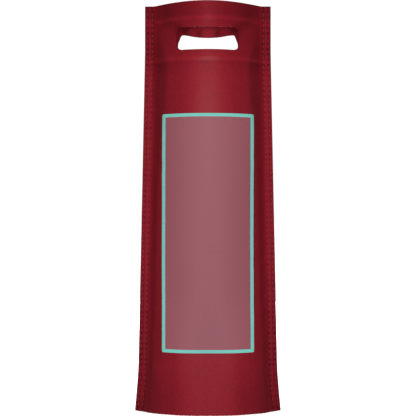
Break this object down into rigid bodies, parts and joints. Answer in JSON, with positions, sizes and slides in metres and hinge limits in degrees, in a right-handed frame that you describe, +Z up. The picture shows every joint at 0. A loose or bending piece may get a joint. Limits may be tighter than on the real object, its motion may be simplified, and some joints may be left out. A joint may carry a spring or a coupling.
{
  "type": "bottle carrier bag",
  "caption": "Tall slim non-woven cloth bag for one bottle, with a punched hand hole under the mouth, sewn side edges, a folded-in base and a blank print panel.",
  "frame": {"origin": "middle of the base, on the surface that the bag stands on", "axes": "+Z up to the mouth, +X to the right seen from the front, -Y towards the viewer of the printed front"},
  "size_m": [0.1442, 0.0884, 0.4],
  "materials": {
    "cloth": "burgundy spun-bonded polypropylene cloth with small pressed bonding points and a soft sheen",
    "strip_cloth": "the same burgundy cloth, heat-pressed to the inside round the hand hole",
    "thread": "burgundy polyester sewing thread, slightly glossy",
    "field_film": "thin matt dusty pink transfer film, blank",
    "border_film": "thin matt teal transfer film"
  },
  "bodies": {
    "root": {"front_panel": "cloth", "back_panel": "cloth", "base_gusset": "cloth", "front_hole_strip": "strip_cloth", "back_hole_strip": "strip_cloth", "left_outer_needle_thread": "thread", "left_outer_bobbin_thread": "thread", "left_inner_needle_thread": "thread", "left_inner_bobbin_thread": "thread", "right_outer_needle_thread": "thread", "right_outer_bobbin_thread": "thread", "right_inner_needle_thread": "thread", "right_inner_bobbin_thread": "thread", "print_field": "field_film", "print_border": "border_film"}
  },
  "joints": []
}
